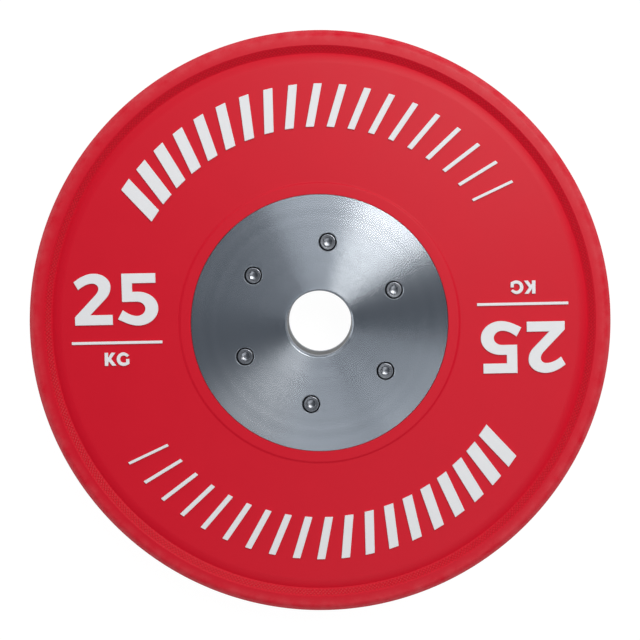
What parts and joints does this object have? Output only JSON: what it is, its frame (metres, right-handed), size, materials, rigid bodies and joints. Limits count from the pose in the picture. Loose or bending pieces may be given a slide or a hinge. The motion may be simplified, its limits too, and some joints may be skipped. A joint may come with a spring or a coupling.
{
  "type": "bumper plate",
  "caption": "Round rubber weight plate for a barbell, with a flanged steel core, bolted steel hub discs and a straight bore for the bar sleeve.",
  "frame": {"origin": "centre of the rear rim plane, which the plate lies on", "axes": "+Z along the bore axis towards the front face, +X through the right-hand markings, +Y towards the upper edge"},
  "size_m": [0.45, 0.45, 0.062],
  "materials": {
    "red_rubber": "smooth moulded rubber, satin",
    "white_marking": "white vulcanised rubber, matt",
    "disc_steel": "lathe-turned, fine concentric grain",
    "screw_steel": "bright plated",
    "bore_steel": "bored, satin",
    "core_steel": "blackened, unseen inside"
  },
  "bodies": {
    "root": {"rubber_body": "red_rubber", "steel_core": "core_steel", "centre_sleeve": "bore_steel", "front_disc": "disc_steel", "front_screw_1": "screw_steel", "front_screw_2": "screw_steel", "front_screw_3": "screw_steel", "front_screw_4": "screw_steel", "front_screw_5": "screw_steel", "front_screw_6": "screw_steel", "rear_disc": "disc_steel", "rear_screw_1": "screw_steel", "rear_screw_2": "screw_steel", "rear_screw_3": "screw_steel", "rear_screw_4": "screw_steel", "rear_screw_5": "screw_steel", "rear_screw_6": "screw_steel", "trim_slug_1": "core_steel", "trim_slug_2": "core_steel", "trim_slug_3": "core_steel"}
  },
  "joints": []
}
